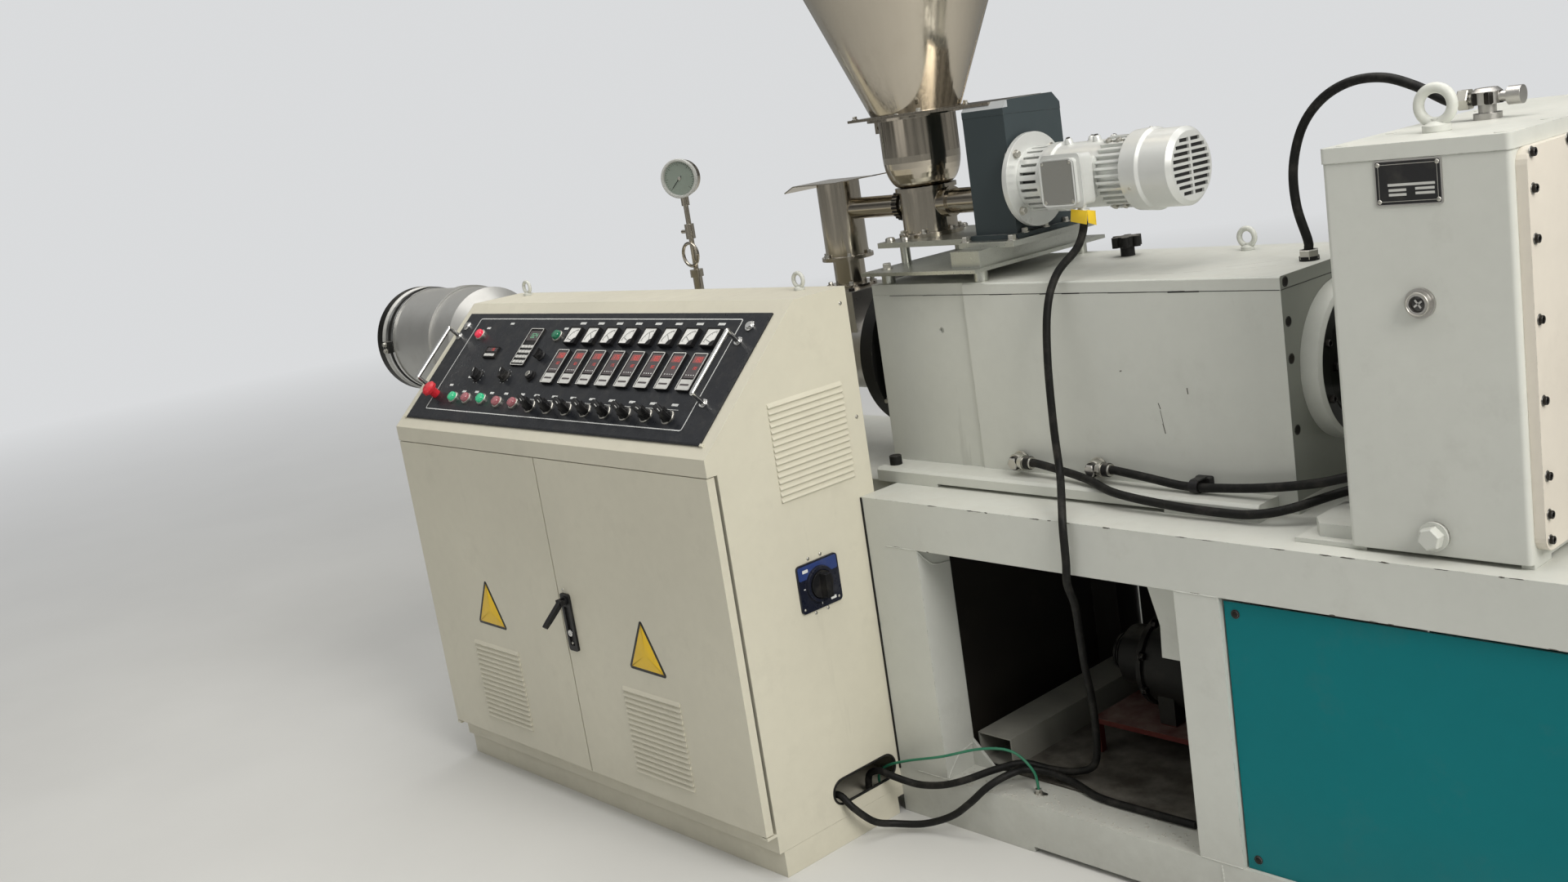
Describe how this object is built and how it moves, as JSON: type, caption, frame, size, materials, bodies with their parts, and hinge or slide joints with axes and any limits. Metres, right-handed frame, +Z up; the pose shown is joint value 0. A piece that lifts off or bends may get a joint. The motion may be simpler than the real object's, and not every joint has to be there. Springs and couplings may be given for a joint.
{
  "type": "plastic extruder",
  "caption": "Twin-screw plastic extruder with gearboxes on an open frame, a hopper feeder, a barrel with die head and a desk-top control cabinet.",
  "frame": {"origin": "middle of the base, on the floor", "axes": "+X along the machine from the die to the main motor, +Y from the control side to the back, +Z up"},
  "size_m": [4.921, 1.242, 2.3769],
  "materials": {
    "frame_paint": "semi-gloss",
    "teal_paint": "satin",
    "cabinet_paint": "satin powder coat",
    "cover_paint": "satin",
    "slate_paint": "satin",
    "desk_paint": "matt",
    "steel": "machined",
    "dark_steel": "blackened",
    "stainless": "brushed",
    "silver": "silver paint",
    "black_plastic": "matt",
    "red_plastic": "gloss",
    "chrome": "polished",
    "hose_rubber": "matt"
  },
  "bodies": {
    "machine": {"base_frame": "frame_paint", "bay_panels": "teal_paint", "bay_back": "dark_steel", "bay_tray": "dark_steel", "oil_pump": "dark_steel", "distribution_box": "frame_paint", "box_lid": "frame_paint", "box_fittings": "dark_steel", "shaft_coupling": "frame_paint", "reducer_housing": "frame_paint", "reducer_lid": "frame_paint", "reducer_side_cover": "cover_paint", "reducer_fittings": "steel", "lifting_eyes": "frame_paint", "motor_coupling": "dark_steel", "main_motor": "slate_paint", "motor_cowl": "slate_paint", "motor_terminal_box": "slate_paint", "barrel": "steel", "barrel_heaters": "silver", "barrel_flange": "dark_steel", "barrel_stand": "frame_paint", "vacuum_gauge": "stainless", "die_head": "steel", "feed_hopper": "stainless", "feeder_bowl": "stainless", "feed_tube": "stainless", "drop_tube": "stainless", "drop_cap": "stainless", "feeder_stand": "frame_paint", "feeder_case": "slate_paint", "feeder_motor": "silver", "feeder_motor_cowl": "silver", "feeder_terminal_box": "silver", "oil_hoses": "hose_rubber", "cables": "hose_rubber", "cabinet_body": "cabinet_paint", "cabinet_plinth": "cabinet_paint", "switch_plate": "black_plastic"},
    "door_left": {"door_left": "cabinet_paint"},
    "door_right": {"door_right": "cabinet_paint", "lock_plate": "black_plastic"},
    "lever_hub": {"lever_hub": "black_plastic"},
    "door_lever": {"door_lever": "black_plastic"},
    "console": {"console_panel": "desk_paint", "console_meters": "black_plastic", "console_knobs": "black_plastic", "console_handles": "chrome"},
    "stop_button": {"stop_button": "red_plastic"},
    "main_switch": {"switch_knob": "black_plastic"}
  },
  "joints": [
    {"name": "left_door_hinge", "type": "hinge", "parent": "machine", "child": "door_left", "pos_m": [-1.1945, -0.53995, 0.5], "axis": [0, 0, -1], "range_deg": [0, 110]},
    {"name": "right_door_hinge", "type": "hinge", "parent": "machine", "child": "door_right", "pos_m": [0.0875, -0.53995, 0.5], "axis": [0, 0, 1], "range_deg": [0, 110]},
    {"name": "lock_swing", "type": "hinge", "parent": "door_right", "child": "lever_hub", "pos_m": [-0.5215, -0.54695, 0.552], "axis": [0, -1, 0], "range_deg": [0, 90]},
    {"name": "lever_lift", "type": "hinge", "parent": "lever_hub", "child": "door_lever", "pos_m": [-0.5215, -0.56495, 0.552], "axis": [-1, 0, 0], "range_deg": [-38, 8]},
    {"name": "console_hinge", "type": "hinge", "parent": "machine", "child": "console", "pos_m": [-1.1735, -0.52501, 0.95916], "axis": [1, 0, 0], "range_deg": [0, 70]},
    {"name": "stop_push", "type": "slide", "parent": "console", "child": "stop_button", "axis": [0, 0.6699, -0.7424], "range_m": [0, 0.005], "stiffness_N_per_m": 900},
    {"name": "main_switch_turn", "type": "hinge", "parent": "machine", "child": "main_switch", "pos_m": [0.1065, -0.29895, 0.597], "axis": [1, 0, 0], "range_deg": [0, 90]}
  ]
}
